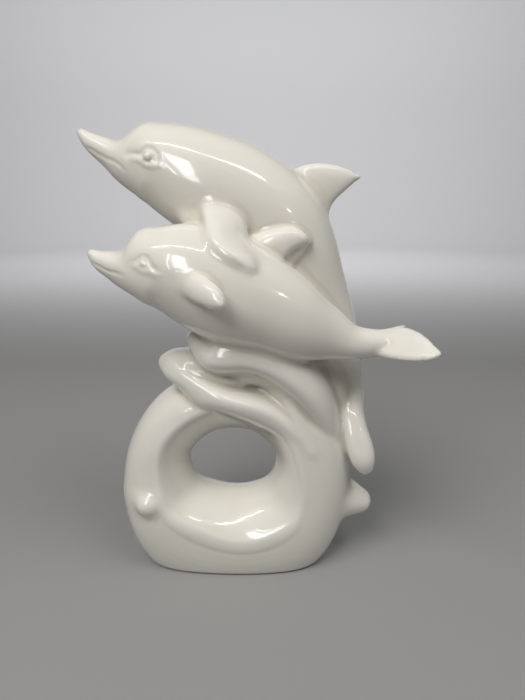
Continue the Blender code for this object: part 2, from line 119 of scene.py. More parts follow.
# %% Skin a list of rings
def clay_object(name, rings, closed=False):
    """A closed helper mesh from equal rings of points, which only the joined figure reads."""
    mesh = bmesh.new()
    loops = [[mesh.verts.new(p) for p in ring] for ring in rings]
    followers = loops[1:] + loops[:1] if closed else loops[1:]
    for low, high in zip(loops, followers):
        for i in range(len(low)):
            j = (i + 1) % len(low)
            mesh.faces.new((low[i], low[j], high[j], high[i]))
    for loop in () if closed else (loops[0], loops[-1]):
        middle = mesh.verts.new(np.mean([v.co for v in loop], axis=0))
        for i in range(len(loop)):
            mesh.faces.new((loop[i], loop[(i + 1) % len(loop)], middle))
    bmesh.ops.recalc_face_normals(mesh, faces=mesh.faces)
    data = bpy.data.meshes.new(name)
    mesh.to_mesh(data)
    mesh.free()
    data.shade_smooth()
    form = bpy.data.objects.new(name, data)
    form.hide_render = True
    scene.collection.objects.link(form)
    return form


def end_cap(ring, i, centres, sizes, direction):
    """Rings that round off a loft's end, starting at the slope with which its last two sizes draw in."""
    run = np.linalg.norm(centres[1] - centres[0])
    slope = math.atan2(max(0, sizes[0] - sizes[1]), run)
    radius = sizes[1] / math.cos(slope)
    bends = np.linspace(slope, math.pi / 2, 7)[1:-1]
    return [ring(i, math.cos(b) / math.cos(slope), direction * radius * (math.sin(b) - math.sin(slope)))
            for b in bends]


# %% [markdown]
# ## Rolls, fins and the ring
# A body or a beak is a roll: its section has one reach upwards, one downwards and one to each side, because
# a dolphin's back and belly are not alike. A fin has a front edge, a rear edge and a thickness. The wave's
# ring has an outer edge, a proud rim and a hole with a narrow band at its waist.

# %% Roll a length of clay
def roll(name, rows, side=SIDEWAYS, square=2.0, turns=LOFT_SIDES, step=LOFT_STEP):
    """Each row is x, y, z, then the reach up, down and to each side, in millimetres."""
    path = smooth_rows(np.array(rows, float) * MM, step)
    centre, reach = path[:, :3], path[:, 3:]
    along = unit(np.gradient(centre, axis=0))
    side = np.array(side, float)
    side = unit(side - (along @ side)[:, None] * along)
    up = np.cross(side, along)
    angle = np.linspace(0, 2 * math.pi, turns, endpoint=False)
    cos = np.sign(np.cos(angle)) * np.abs(np.cos(angle)) ** (2 / square)
    sin = np.sign(np.sin(angle)) * np.abs(np.sin(angle)) ** (2 / square)

    def ring(i, scale, ahead):
        height = np.where(sin > 0, reach[i, 0], reach[i, 1]) * scale
        width = reach[i, 2] * scale
        return centre[i] + ahead * along[i] + np.outer(sin * height, up[i]) + np.outer(cos * width, side[i])

    rings = [ring(i, 1, 0) for i in range(len(path))]
    first = end_cap(ring, 0, centre[1::-1], reach[1::-1].min(axis=1), -1)[::-1]
    last = end_cap(ring, len(path) - 1, centre[-2:], reach[-2:].min(axis=1), 1)
    return clay_object(name, first + rings + last)


# %% Press a fin
def fin(name, rows, rear_taper=0.8, front_taper=0.8):
    """Each row is the front edge x, y, z, the rear edge x, y, z, and the thickness, in millimetres.

    A small taper keeps the fin thick right up to that edge, and one above 1 draws the edge out thin.
    """
    path = smooth_rows(np.array(rows, float) * MM, LOFT_STEP)
    front, rear, thick = path[:, :3], path[:, 3:6], path[:, 6]
    middle, chord = (front + rear) / 2, rear - front
    outward = unit(np.gradient(middle, axis=0))
    normal = unit(np.cross(outward, chord))
    angle = np.linspace(0, 2 * math.pi, LOFT_SIDES, endpoint=False)
    taper = np.where(np.cos(angle) > 0, rear_taper, front_taper)
    swell = np.sign(np.sin(angle)) * np.abs(np.sin(angle)) ** taper / 2

    def ring(i, scale, ahead):
        spread = np.outer(np.cos(angle) * scale / 2, chord[i])
        return middle[i] + ahead * outward[i] + spread + np.outer(swell * thick[i] * scale, normal[i])

    rings = [ring(i, 1, 0) for i in range(len(path))]
    half = np.linalg.norm(chord[-2:], axis=1) / 2
    return clay_object(name, rings + end_cap(ring, len(path) - 1, middle[-2:], half, 1))


# %% Turn the wave's ring
def wave_ring(name, rows, square=1.25):
    """Each row is outer x, z, rim x, z, the hole's edge and the depth as shares, and the fullness."""
    rows = np.array(rows, float)
    rows[:, :4] *= MM
    rows[:, 4:6] = HOLE_MIDDLE + rows[:, 4:6] * HOLE_HALF
    rows[:, 6] *= HALF_BASE
    path = smooth_rows(np.insert(np.tile(rows, (3, 1)), 1, 0, axis=1), LOFT_STEP)
    third = len(path) // 3
    angle = np.linspace(0, 2 * math.pi, LOFT_SIDES, endpoint=False)
    cos, sin = np.cos(angle)[:, None], np.sin(angle)[:, None]
    rings = []
    for outer_x, _, outer_z, rim_x, rim_z, hole_x, hole_z, depth, fullness in path[third : 2 * third]:
        outer, rim, hole = np.array([(outer_x, 0, outer_z), (rim_x, 0, rim_z), (hole_x, 0, hole_z)])
        power = 2 / np.where(cos > 0, fullness, square)
        band = np.where(cos > 0, 0, HOLE_BAND / 2)
        reach = np.abs(cos) ** power * np.where(cos > 0, outer - rim, hole - rim)
        swell = np.sign(np.round(sin, 9)) * (band + (depth - band) * np.abs(sin) ** power)
        rings.append(rim + reach + swell * np.array((0, 1, 0)))
    return clay_object(name, rings, closed=True)


clay = [(wave_ring("wave_ring", [
    (83.5, 68, 46, 72, 0.99, -0.06, 0.88, 2.2),
    (74, 106, 38, 102, 0.89, 0.43, 0.85, 2.2),
    (44, 134, 20, 122, 0.48, 0.88, 0.79, 2.2),
    (0, 140, -6, 126, -0.03, 1, 0.76, 2.2),
    (-43, 133, -29, 119, -0.53, 0.83, 0.76, 2.2),
    (-67, 109, -46, 102, -0.89, 0.43, 0.79, 2.2),
    (-80, 70, -51, 76, -1, -0.06, 0.82, 2.3),
    (-79.5, 36, -47, 55, -0.88, -0.57, 0.91, 2.4),
    (-57, -8, -27, 41, -0.48, -0.9, 0.97, 2.6),
    (0, -20, 4, 30, 0.03, -1, 1, 2.7),
    (56, -8, 33, 39, 0.48, -0.91, 0.97, 2.6),
    (80, 34, 45, 53, 0.87, -0.57, 0.91, 2.3),
]), 0)]
print("the ring has", len(clay[0][0].data.vertices), "points")

# %% [markdown]
# ## The curling wave
# Two crests rise from the right of the ring and curl to the left under the smaller dolphin's belly. Webs of
# clay behind them keep the mould simple on the real piece, so nothing shows through between the crests.
# Two short spurs of foam stand out of the ring, and an apron rounds it below the hole. The number after each
# form is the width of its fillet, in millimetres.

# %% Roll the crests and the spurs
clay += [
    (roll("crest_low", [
        (62, 0, 74, 14, 14, 23),
        (54, 0, 91, 14, 13, 26),
        (44, 0, 106, 15.5, 11, 28),
        (32, -1, 118.5, 17, 9.5, 29),
        (20, -2, 127, 19, 8, 29.5),
        (6, -3, 132, 17, 8, 29.5),
        (-8, -3, 136.5, 17, 8, 28.5),
        (-20, -3, 142, 20.5, 8.5, 25),
        (-26, -3.5, 144.7, 17, 9, 22.8),
        (-31.5, -4, 147.3, 12.5, 9.5, 19.8),
        (-39, -4, 150.5, 10.5, 10.5, 15.5),
        (-44.5, -4, 152.5, 8.2, 8.5, 10.5),
        (-48, -4, 153.5, 5, 5, 6),
    ], square=2.2), 3),
    (roll("lobe_web", [
        (-36, -4, 152, 9.5, 8, 12),
        (-29, -4, 152, 10.5, 9, 15.5),
        (-21, -4, 150.5, 12, 10, 18.5),
        (-12, -3.5, 148, 10.5, 10, 20.5),
        (-2, -3, 145, 8.5, 9, 20.5),
        (8, -3, 142.5, 6, 8, 17),
    ]), 4),
    (roll("crest_high", [
        (66, 2, 90, 15, 18, 17),
        (60.5, 1, 114, 15, 15, 23),
        (50.5, -1, 133.5, 14, 17, 27),
        (37, -3, 148, 14, 18.5, 28.5),
        (22, -4, 157.5, 13.5, 19.5, 29),
        (6, -5, 161.5, 14, 18.5, 28.5),
        (-7, -6, 162, 15, 19, 27),
        (-16, -6.5, 165, 13.5, 18, 23),
        (-22.5, -7, 169.3, 9, 11, 14),
        (-27, -7, 172, 5, 5, 8),
    ]), 2),
    (roll("wave_web", [
        (-9, -2, 152, 7, 8, 13),
        (0, -2, 150, 8, 9, 19),
        (11, -2, 149, 8, 11, 21.5),
        (22, -2, 147.5, 8.5, 12, 21),
        (31, -1, 140, 10, 12, 21.5),
        (38, -1, 129, 11, 12, 24.5),
        (45, 0, 113, 12, 12, 27),
        (52, 0, 96, 12, 12, 27),
    ]), 5),
    (roll("tail_web", [
        (34, 6, 168, 12, 12, 12),
        (52, 6, 152, 14, 14, 14),
        (72, 6, 118, 12, 12, 13),
        (76, 5, 96, 10, 10, 12),
    ]), 4),
    (roll("spur_right", [
        (64, 0, 48, 21, 20, 18),
        (76, 0, 46, 17.5, 17, 16.5),
        (87, 0, 43.6, 13, 12.5, 12.5),
        (95.5, 0, 41.8, 8.6, 8.4, 8.4),
    ]), 6),
    (roll("spur_near", [
        (-63, -8, 56, 14, 14, 14),
        (-60.5, -18, 56.5, 10.5, 10.5, 10.5),
        (-58.7, -27.5, 56.5, 7.5, 7.5, 7.5),
    ], side=(1, 0, 0)), 9),
]


def apron(name, hand):
    """The soft edge below the hole, where the ring's inside turns to its near or far face."""
    rows = [(-38, 13, 50, 7, 10, 13), (-22, 12.3, 41.5, 7.5, 10, 16.5), (-5, 11.4, 37, 8, 10, 18.5),
            (9, 11.4, 36.4, 8, 10, 18.5), (26, 12.2, 40, 7.5, 10, 16.5), (42, 13, 49.5, 7, 10, 13)]
    rows = [(x, y * hand, *rest) for x, y, *rest in rows]
    return roll(name, rows, side=(0, -0.77, 0.64 * hand), square=3.0)


clay += [
    (apron("apron_near", NEAR), 6),
    (apron("apron_far", FAR), 6),
]
print("the wave has", len(clay), "forms")

# %% [markdown]
# ## The larger dolphin
# It leaps upright behind, from its tail on the wave to its raised beak. The back fin, the tail's two lobes
# and the near flipper that hugs the smaller dolphin are forms of their own, because their thin edges need
# another section than the body's. The far flipper can't be seen in front, and mirrors the near one's kind.

# %% Shape the larger dolphin
clay += [
    (roll("large_body", [
        (-70, 14, 288.3, 6.5, 15, 9),
        (-66, 14, 287, 12.5, 17.5, 13),
        (-61, 14, 285.4, 18.5, 20, 16.5),
        (-52.8, 14, 282.8, 23, 23.5, 21),
        (-37.8, 14, 276.5, 28.8, 28.5, 25),
        (-19, 14, 268, 32.6, 32.6, 27.5),
        (-1, 14, 260, 34.6, 34, 28),
        (16.5, 14, 250.7, 34, 34, 28),
        (27.3, 14, 241.8, 33.5, 33, 27.5),
        (35.5, 14, 230.9, 32, 31, 26.5),
        (45.9, 14, 208.5, 29, 28, 24),
        (56.3, 14, 187.9, 25, 24, 20),
        (66.4, 14, 168.6, 20.5, 20, 16),
        (77.8, 14, 138.3, 14, 14, 11.5),
        (84, 13, 120, 10, 10, 10),
        (86, 12, 110, 7, 7, 8),
    ]), 8),
    (roll("large_beak", [
        (-94.3, 14, 298.6, 2.6, 2.6, 2.8),
        (-88.8, 14, 293.3, 5.4, 5.6, 5.2),
        (-79.8, 14, 288.4, 7.3, 9, 8.5),
        (-71, 14, 284, 9.3, 12.3, 12.2),
        (-62, 14, 279, 11, 14.5, 16.2),
        (-50, 14, 272, 8, 15, 19),
    ]), 7),
    (fin("large_back_fin", [
        (30, 14, 264, 50, 14, 238, 13),
        (42, 14, 277, 62.5, 14, 250, 11),
        (52, 14, 280, 66, 14, 256, 9.5),
        (62, 14, 279.8, 71, 14, 261.3, 8),
        (71, 14, 277.9, 75.5, 14, 265.3, 6),
        (78, 14, 275.2, 79.5, 14, 268.8, 4),
        (82.6, 14, 272.3, 82.8, 14, 271, 2),
    ]), 8),
    (roll("large_tail_near", [
        (82, 9, 122, 11, 10, 10),
        (82, -6, 109, 10, 8, 9),
        (85, -12.5, 97, 10.5, 8, 8),
        (88.3, -15, 88, 9.7, 8.3, 7.5),
        (91, -15.5, 81.5, 7.3, 7, 6.3),
        (93, -15.5, 77, 4.6, 4.6, 4.2),
    ], square=2.5), 4),
    (roll("large_tail_far", [
        (84, 18, 122, 10, 8, 10),
        (86, 27, 108, 9, 8.5, 9),
        (88.5, 33, 96, 9, 9.5, 8),
        (89.5, 36, 86, 9.5, 9.5, 7.5),
        (91.5, 37, 78, 8, 7.5, 6),
        (94, 37.5, 73.5, 4.5, 4.5, 4),
    ]), 4),
]
print("with the larger dolphin, the clay has", len(clay), "forms")

# %% [markdown]
# ## The smaller dolphin
# It swims on the near side, level, with its tail held out to the right. Where the two bodies lean on each
# other, the real cast is filled, because a deep slit would trap the mould. A bridge of clay does that here.

# %% Shape the smaller dolphin
clay += [
    (roll("small_body", [
        (-66, -20, 223.6, 5, 13, 8),
        (-62, -20, 222.6, 11.3, 15.5, 12),
        (-57, -20, 221.9, 18, 18.5, 15.5),
        (-47.5, -20, 220.3, 22.6, 23.5, 20),
        (-33.3, -20, 217.5, 27.5, 28.5, 23.5),
        (-17, -20, 211.5, 31, 31.8, 25.5),
        (4.3, -20, 201.4, 32.6, 32.6, 25.5),
        (25.2, -20, 193, 29, 29, 23),
        (45.8, -20, 182, 23.5, 23.9, 19),
        (64, -19, 174.8, 16.4, 16.4, 13),
        (76.3, -18, 170.6, 11.6, 11.6, 10.5),
        (90.6, -16, 169.8, 8.8, 9.5, 9),
        (101, -14, 171, 6, 6, 8),
    ]), 7),
    (roll("small_beak", [
        (-83.8, -20, 227.3, 2.5, 2.6, 2.9),
        (-79, -20, 223.7, 5, 6.2, 5.4),
        (-72.7, -20, 221.4, 6.9, 9.3, 8.7),
        (-65, -20, 219, 7.4, 11.8, 12),
        (-56, -20, 215, 7, 13, 15.5),
        (-46, -20, 210.5, 8, 14, 18),
    ]), 7),
    (fin("small_back_fin_far", [
        (6.1, -11.5, 232.2, 39.2, -11.5, 211.8, 9),
        (17.2, -11.5, 236.1, 39.1, -11.5, 217.5, 9),
        (24.6, -11.5, 239.7, 41.5, -11.5, 222.4, 8.5),
        (33.1, -11.5, 241.8, 44.5, -11.5, 226.1, 8),
        (41.7, -12, 240.9, 47.5, -12, 229.5, 7),
        (47.3, -12.5, 236.8, 49.8, -12.5, 232, 5),
    ], rear_taper=0.6), 4),
    (fin("small_back_fin_near", [
        (3.8, -14.5, 232.4, 33.3, -15.5, 214.9, 10),
        (14.8, -14.5, 236.3, 32.9, -15.5, 221.7, 10),
        (23.3, -14.5, 239.9, 35.3, -15.5, 225.3, 9.5),
        (31.8, -14.5, 241.6, 39.3, -15.5, 228.9, 9),
        (40.3, -15, 241.1, 43.5, -15.5, 231, 7),
        (45.1, -15.5, 238.5, 46.5, -15.5, 232.5, 5),
    ], rear_taper=0.6, front_taper=1.2), 4),
    (roll("throat_web", [
        (-27, -3, 247, 5, 5, 6),
        (-18, -4, 245, 9, 9, 10),
        (-9, -5, 241, 10, 10, 12),
        (0, -4, 236, 9, 9, 10),
    ]), 10),
    (roll("bridge_between_bodies", [
        (-16, -3, 236, 10, 10, 13),
        (8, -4, 226, 10, 12, 13.5),
        (30, -3, 211, 12.5, 14, 14),
        (48, -2, 195, 12, 12, 14),
        (64, 0, 180, 10, 10, 12),
    ]), 4),
]
print("with the smaller dolphin, the clay has", len(clay), "forms")

# %% Press the flippers and the smaller tail
clay += [
    (fin("large_flipper_near", [
        (-18.2, -3, 260, 3.7, -3, 255, 12),
        (-16.2, -14.5, 250.1, 9.3, -12, 244.8, 13),
        (-13.4, -27, 242.5, 11.2, -15.5, 237.9, 13),
        (-10.4, -36, 235.8, 12.5, -19, 232.2, 12),
        (-6.2, -40, 230.6, 13.8, -26, 228.1, 10.5),
        (0.1, -42, 226.4, 15, -30.5, 224.5, 9),
        (6.8, -42, 222.5, 15.9, -34, 221.5, 7.5),
        (11.2, -41.5, 219.6, 15.7, -36.5, 218.9, 5.5),
    ], rear_taper=1.3, front_taper=0.7), 6),
    (fin("large_flipper_far", [
        (-20, 34, 256, 4, 34, 250, 12),
        (-14, 46, 246, 14, 44, 240, 12),
        (-4, 54, 232, 18, 52, 228, 10),
        (8, 59, 219, 22, 58, 217, 7),
        (18, 61, 209, 24, 61, 208, 3.4),
    ]), 8),
    (fin("small_tail_near", [
        (88, -16, 163.5, 106, -12, 176, 9),
        (96, -26, 163, 112, -15, 178.5, 8),
        (105, -35, 163.8, 116.5, -21, 178.3, 7),
        (112.5, -41, 165.2, 120, -29, 177, 6),
        (119, -44, 166.7, 123, -37, 174, 5),
        (123.5, -45.5, 169, 125.3, -43.5, 171.5, 3),
    ]), 5),
    (fin("small_tail_far", [
        (87, -14, 163.5, 105, -14, 176, 9),
        (94, -2, 163, 110, -12, 178, 8),
        (102, 6, 163.8, 114, -6, 177.5, 7),
        (109, 12, 165.2, 116.5, 1, 176, 6),
        (115, 15, 166.7, 118.5, 8, 174, 5),
        (118.5, 16.5, 169, 120, 14, 171.5, 3),
    ]), 5),
]


def small_flipper(name, root, hand):
    """A short flipper that stands off the smaller body, to its near side or its far side."""
    reach = np.array((0, 7.5, 12.5, 16, 18)) * hand + root
    rows = [(-25, 206.5, -20, 218, 11), (-19.2, 203, -12.6, 216.5, 11), (-12.3, 200.8, -7, 213.6, 10),
            (-6.3, 199.8, -2.2, 209, 8), (-2.2, 200.3, -0.4, 204.2, 5)]
    return fin(name, [(a, y, b, c, y, d, e) for y, (a, b, c, d, e) in zip(reach, rows)])


clay += [
    (small_flipper("small_flipper_near", -39, NEAR), 5),
    (small_flipper("small_flipper_far", -1, FAR), 5),
]
print("the clay is", len(clay), "forms")


# %% Set in the balls of the eyes
def eye_ball(name, x, y, z, size, hand):
    """A short peg of clay that stands proud of the head and is rounded at its end."""
    root = size + 0.1
    peg = [(x, y - 4 * hand, z, root, root, root), (x, y, z, size, size, size)]
    return roll(name, peg, side=(1, 0, 0), turns=28)


clay += [
    (eye_ball("large_eye_near", -48, -7, 282.3, 3.4, NEAR), 1),
    (eye_ball("large_eye_far", -48, 35, 282.3, 3.4, FAR), 1),
    (eye_ball("small_eye_near", -47.8, -38, 222.4, 2.3, NEAR), 1),
    (eye_ball("small_eye_far", -47.8, -2, 222.4, 2.3, FAR), 1),
]
print("with the eyes it is", len(clay), "forms")

# %% [markdown]
# ## Joining the clay
# Wet clay is joined with a finger, which leaves a soft fillet. A Boolean would leave creases, and a remesh of
# overlapping lofts would leave steps. So the forms are joined as distances: for any place, the distance to
# each form is found, and Smooth Minimum blends them with the width of that fillet. Volume Cube samples the
# result on a grid, Volume to Mesh skins it, and the skin then settles onto the exact surface.

# %% Wrap sockets so that sums are written as sums
def feed(tree, slot, value):
    """Links a socket or a Term to the slot, or sets the slot to a plain value."""
    if isinstance(value, Term):
        value = value.socket
    if isinstance(value, bpy.types.NodeSocket):
        tree.links.new(value, slot)
    else:
        slot.default_value = value


class Term:
    """A number in a node tree. Python's operators add Math nodes to it."""

    def __init__(self, tree, socket):
        self.tree, self.socket = tree, socket

    def math(self, operation, *others):
        made = self.tree.nodes.new("ShaderNodeMath")
        made.operation = operation
        for slot, value in zip(made.inputs, (self, *others)):
            feed(self.tree, slot, value)
        return Term(self.tree, made.outputs[0])

    def __add__(self, other):
        return self.math("ADD", other)

    def __sub__(self, other):
        return self.math("SUBTRACT", other)

    def __rsub__(self, other):
        return (self * -1.0).math("ADD", other)

    def __mul__(self, other):
        return self.math("MULTIPLY", other)

    def __truediv__(self, other):
        return self.math("DIVIDE", other)

    __radd__, __rmul__ = __add__, __mul__

    def smooth_step(self, low, high):
        """0 below low, 1 above high and a soft ramp between, or the reverse where low is above high."""
        share = (self - low).math("DIVIDE", high - low).math("MAXIMUM", 0.0).math("MINIMUM", 1.0)
        return share * share * (3.0 - 2.0 * share)


class Wiring:
    """One node tree. add() makes a node from its type, its settings and what its sockets hold.

    A socket is named as Blender names it, or by its number, as n0 and n1.
    """

    def __init__(self, tree):
        self.tree = tree

    def add(self, kind, settings=None, **inputs):
        made = self.tree.nodes.new(kind)
        for setting, value in (settings or {}).items():
            setattr(made, setting, value)
        for key, value in inputs.items():
            by_number = key[0] == "n" and key[1:].isdigit()
            feed(self.tree, made.inputs[int(key[1:]) if by_number else key], value)
        return made

    def term(self, socket):
        return Term(self.tree, socket)

    def dot(self, first, second):
        """How far one vector reaches along another, as a number."""
        made = self.add("ShaderNodeVectorMath", {"operation": "DOT_PRODUCT"}, n0=first, n1=second)
        return self.term(made.outputs["Value"])


# %% Open a geometry node tree with named inputs
def socket_label(name):
    """An input's name as the tree shows it, so fillet_share becomes Fillet Share."""
    return name.replace("_", " ").title()


def geometry_wiring(name, **named):
    """A tree with one mesh input, one input for each named size, and one mesh output."""
    tree = bpy.data.node_groups.new(name, "GeometryNodeTree")
    tree.interface.new_socket("Geometry", in_out="OUTPUT", socket_type="NodeSocketGeometry")
    tree.interface.new_socket("Geometry", in_out="INPUT", socket_type="NodeSocketGeometry")
    for size in named:
        tree.interface.new_socket(socket_label(size), in_out="INPUT", socket_type="NodeSocketFloat")
    wiring = Wiring(tree)
    wiring.start = wiring.add("NodeGroupInput")
    wiring.sizes = named
    return wiring


def run_tree(wiring, mesh, name):
    """The plain mesh that the tree makes from mesh."""
    carrier = bpy.data.objects.new(name, mesh)
    scene.collection.objects.link(carrier)
    modifier = carrier.modifiers.new(name, "NODES")
    modifier.node_group = wiring.tree
    for size, value in wiring.sizes.items():
        modifier[wiring.tree.interface.items_tree[socket_label(size)].identifier] = value
    made = bpy.data.meshes.new_from_object(carrier.evaluated_get(bpy.context.evaluated_depsgraph_get()))
    bpy.data.objects.remove(carrier)
    made.name = name
    return made


# %% Measure the distance to one form
def distance_to(wiring, form):
    """The signed distance from any place to a form's surface, negative inside it.

    The nearest face gives its plane as a colour: the normal in red, green and blue, the level in alpha.
    """
    surface = wiring.add("GeometryNodeObjectInfo", Object=form).outputs["Geometry"]
    place = wiring.add("GeometryNodeInputPosition").outputs[0]
    normal = wiring.add("GeometryNodeInputNormal").outputs[0]
    level = wiring.dot(place, normal)
    parts = wiring.add("ShaderNodeSeparateXYZ", n0=normal).outputs
    plane = wiring.add("FunctionNodeCombineColor", Red=parts[0], Green=parts[1], Blue=parts[2], Alpha=level)
    nearest = wiring.add("GeometryNodeSampleNearestSurface", {"data_type": "FLOAT_COLOR"}, Mesh=surface,
                         Value=plane.outputs[0])
    parts = wiring.add("FunctionNodeSeparateColor", n0=nearest.outputs["Value"]).outputs
    normal = wiring.add("ShaderNodeCombineXYZ", X=parts[0], Y=parts[1], Z=parts[2]).outputs[0]
    return wiring.dot(place, normal) - parts[3]


def joined_distance(wiring, forms, carved=()):
    """One distance to all the clay: forms joined with fillets, lines cut in or laid on, and a flat foot."""
    spread = wiring.term(wiring.start.outputs["Fillet Share"]) * MM
    distance = None
    for form, fillet in forms:
        own = distance_to(wiring, form)
        distance = own if distance is None else distance.math("SMOOTH_MIN", own, spread * float(fillet))
    for form, fillet, cut in carved:
        own = distance_to(wiring, form)
        if cut:
            distance = distance.math("SMOOTH_MAX", own * -1.0, spread * float(fillet))
        else:
            distance = distance.math("SMOOTH_MIN", own, spread * float(fillet))
    place = wiring.add("GeometryNodeInputPosition").outputs[0]
    height = wiring.term(wiring.add("ShaderNodeSeparateXYZ", n0=place).outputs["Z"])
    return distance.math("SMOOTH_MAX", height * -1.0, wiring.start.outputs["Foot Rounding"])


# %% Settle a skin onto the surface
def settle(wiring, skin, distance, rounds, even_out=True):
    """Spreads the skin's points evenly, then moves each along its normal by its own distance, twice."""
    place = wiring.add("GeometryNodeInputPosition").outputs[0]
    even = wiring.add("GeometryNodeBlurAttribute", {"data_type": "FLOAT_VECTOR"}, Value=place, Iterations=1)
    for _ in range(rounds):
        if even_out:
            skin = wiring.add("GeometryNodeSetPosition", Geometry=skin, Position=even.outputs[0]).outputs[0]
        for _ in range(2):
            normal = wiring.add("GeometryNodeInputNormal").outputs[0]
            back = distance * -1.0
            move = wiring.add("ShaderNodeVectorMath", {"operation": "SCALE"}, Vector=normal, Scale=back)
            skin = wiring.add("GeometryNodeSetPosition", Geometry=skin, Offset=move.outputs[0]).outputs[0]
    return skin


# %% Skin the joined clay
corners = np.array([v.co for form, _ in clay for v in form.data.vertices])
low, high = corners.min(0) - 2 * CELL, corners.max(0) + 2 * CELL
low[2] = -2 * CELL
counts = [math.ceil((b - a) / CELL) for a, b in zip(low, high)]
top = [a + n * CELL for a, n in zip(low, counts)]
joining = geometry_wiring("join_the_clay", fillet_share=1.0, foot_rounding=FOOT_ROUND, cell_size=CELL)
distance = joined_distance(joining, clay)
density = 1.0 - distance / joining.start.outputs["Cell Size"]
resolution = {"Resolution " + axis: count for axis, count in zip("XYZ", counts)}
cube = joining.add("GeometryNodeVolumeCube", Density=density, Background=0.0, Min=tuple(low), Max=tuple(top),
                   **resolution)
skin = joining.add("GeometryNodeVolumeToMesh", Volume=cube.outputs[0], Threshold=1.0).outputs[0]
skin = settle(joining, skin, distance, 2)
joining.add("NodeGroupOutput", n0=skin)
body_mesh = run_tree(joining, bpy.data.meshes.new("empty"), "joined_clay")
print("the joined clay has", len(body_mesh.vertices), "points")

# %% [markdown]
# ## Carving the faces
# On the real piece the eyes, brows and mouths were drawn into the model with a loop tool, and thick glaze has
# softened them since. Each stroke is a thin roll laid on the side of the head. It is drawn flat, in side
# view, and a ray finds where it meets the skin, so a stroke stays on the head if the head is changed.

# %% Lay a stroke on the side of a head
STROKE_STEP = 1.2
BESIDE_THE_HEAD = 60
surface = BVHTree.FromPolygons([v.co for v in body_mesh.vertices], [p.vertices for p in body_mesh.polygons])
carved = []


def stroke(name, rows, middle, hand, cut, fillet):
    """Each row is x, z, the stroke's half width and how deep it goes or how far it stands out, in mm."""
    laid = []
    for x, _, z, width, depth in smooth_rows(np.insert(np.array(rows, float), 1, 0, axis=1), STROKE_STEP):
        start = Vector((x * MM, middle + hand * BESIDE_THE_HEAD * MM, z * MM))
        place, normal, _, _ = surface.ray_cast(start, Vector((0, -hand, 0)))
        if place is None:
            continue
        radius = (width**2 + depth**2) / (2 * depth)
        out = radius - depth if cut else depth - radius
        laid.append((*(place / MM + normal * out), radius, radius, radius))
    if len(laid) > 2:
        form = roll(name, laid, side=(0.3, hand, 0.2), turns=20, step=STROKE_STEP * MM)
        carved.append((form, fillet, cut))
    return len(laid)


def both_sides(name, rows, middle, cut, fillet):
    """The same stroke on the near and the far side of the head, cut in or else laid on."""
    near = stroke(name + "_near", rows, middle, NEAR, cut, fillet)
    far = stroke(name + "_far", rows, middle, FAR, cut, fillet)
    print(name, "is laid at", near, "and", far, "places")


# %% Carve the larger face
both_sides("large_brow", [
    (-62.5, 284.5, 1.6, 0.2),
    (-59, 283.4, 2.3, 0.6),
    (-55.5, 283.3, 2.4, 0.85),
    (-52.8, 284.2, 1.9, 0.8),
    (-51, 286, 1.3, 0.45),
    (-48, 287.1, 1.1, 0.3),
    (-44.8, 286, 1.2, 0.4),
    (-43, 283.2, 1.3, 0.45),
    (-43, 280, 1.1, 0.3),
], LARGE_MIDDLE, cut=True, fillet=2.0)
both_sides("large_lower_lid", [
    (-60, 281, 1.4, 0.2),
    (-56, 281, 1.6, 0.45),
    (-53, 279.8, 1.5, 0.5),
    (-49.8, 277.7, 1.4, 0.5),
    (-46, 276.9, 1.3, 0.45),
    (-41.8, 277.2, 1.1, 0.2),
], LARGE_MIDDLE, cut=False, fillet=1.8)
both_sides("large_mouth", [
    (-88.5, 288.6, 0.6, 0.1),
    (-84, 286, 0.9, 0.25),
    (-76.6, 282.2, 1, 0.3),
    (-71.4, 280.3, 1, 0.3),
    (-67.5, 278, 0.9, 0.25),
    (-65, 275.6, 0.7, 0.1),
], LARGE_MIDDLE, cut=True, fillet=1.6)
print("the larger face has", len(carved), "strokes")

# %% Carve the smaller face
both_sides("small_upper_lid", [
    (-55.5, 223.3, 1.1, 0.1),
    (-52.6, 223.9, 1.3, 0.3),
    (-50.6, 225.6, 1.0, 0.28),
    (-48, 226.7, 0.9, 0.2),
    (-45.2, 225.8, 0.9, 0.22),
    (-43.6, 223.4, 1, 0.22),
    (-42, 220.9, 1, 0.2),
    (-39.8, 219.2, 0.9, 0.1),
], SMALL_MIDDLE, cut=True, fillet=1.8)
both_sides("small_lower_lid", [
    (-54.5, 221.9, 1, 0.1),
    (-51.2, 220.2, 1.1, 0.22),
    (-48.6, 218.7, 1.1, 0.25),
    (-45, 218.3, 1.1, 0.25),
    (-41.5, 217.2, 1, 0.2),
    (-38.5, 216.8, 0.9, 0.1),
], SMALL_MIDDLE, cut=False, fillet=1.8)
both_sides("small_mouth", [
    (-81.5, 221.5, 0.6, 0.1),
    (-77, 219.4, 0.9, 0.3),
    (-71.5, 217.4, 0.9, 0.35),
    (-66, 216.5, 0.9, 0.3),
    (-62.5, 215.6, 0.7, 0.1),
], SMALL_MIDDLE, cut=True, fillet=1.4)
print("both faces have", len(carved), "strokes")

# %% [markdown]
# ## A finer skin where the carving is
# A stroke is about a millimetre wide, and a skin that fine all over would need millions of faces. The whole
# skin is divided once, then only the faces near a stroke are divided twice more, and everything settles
# again, this time onto the carved surface.

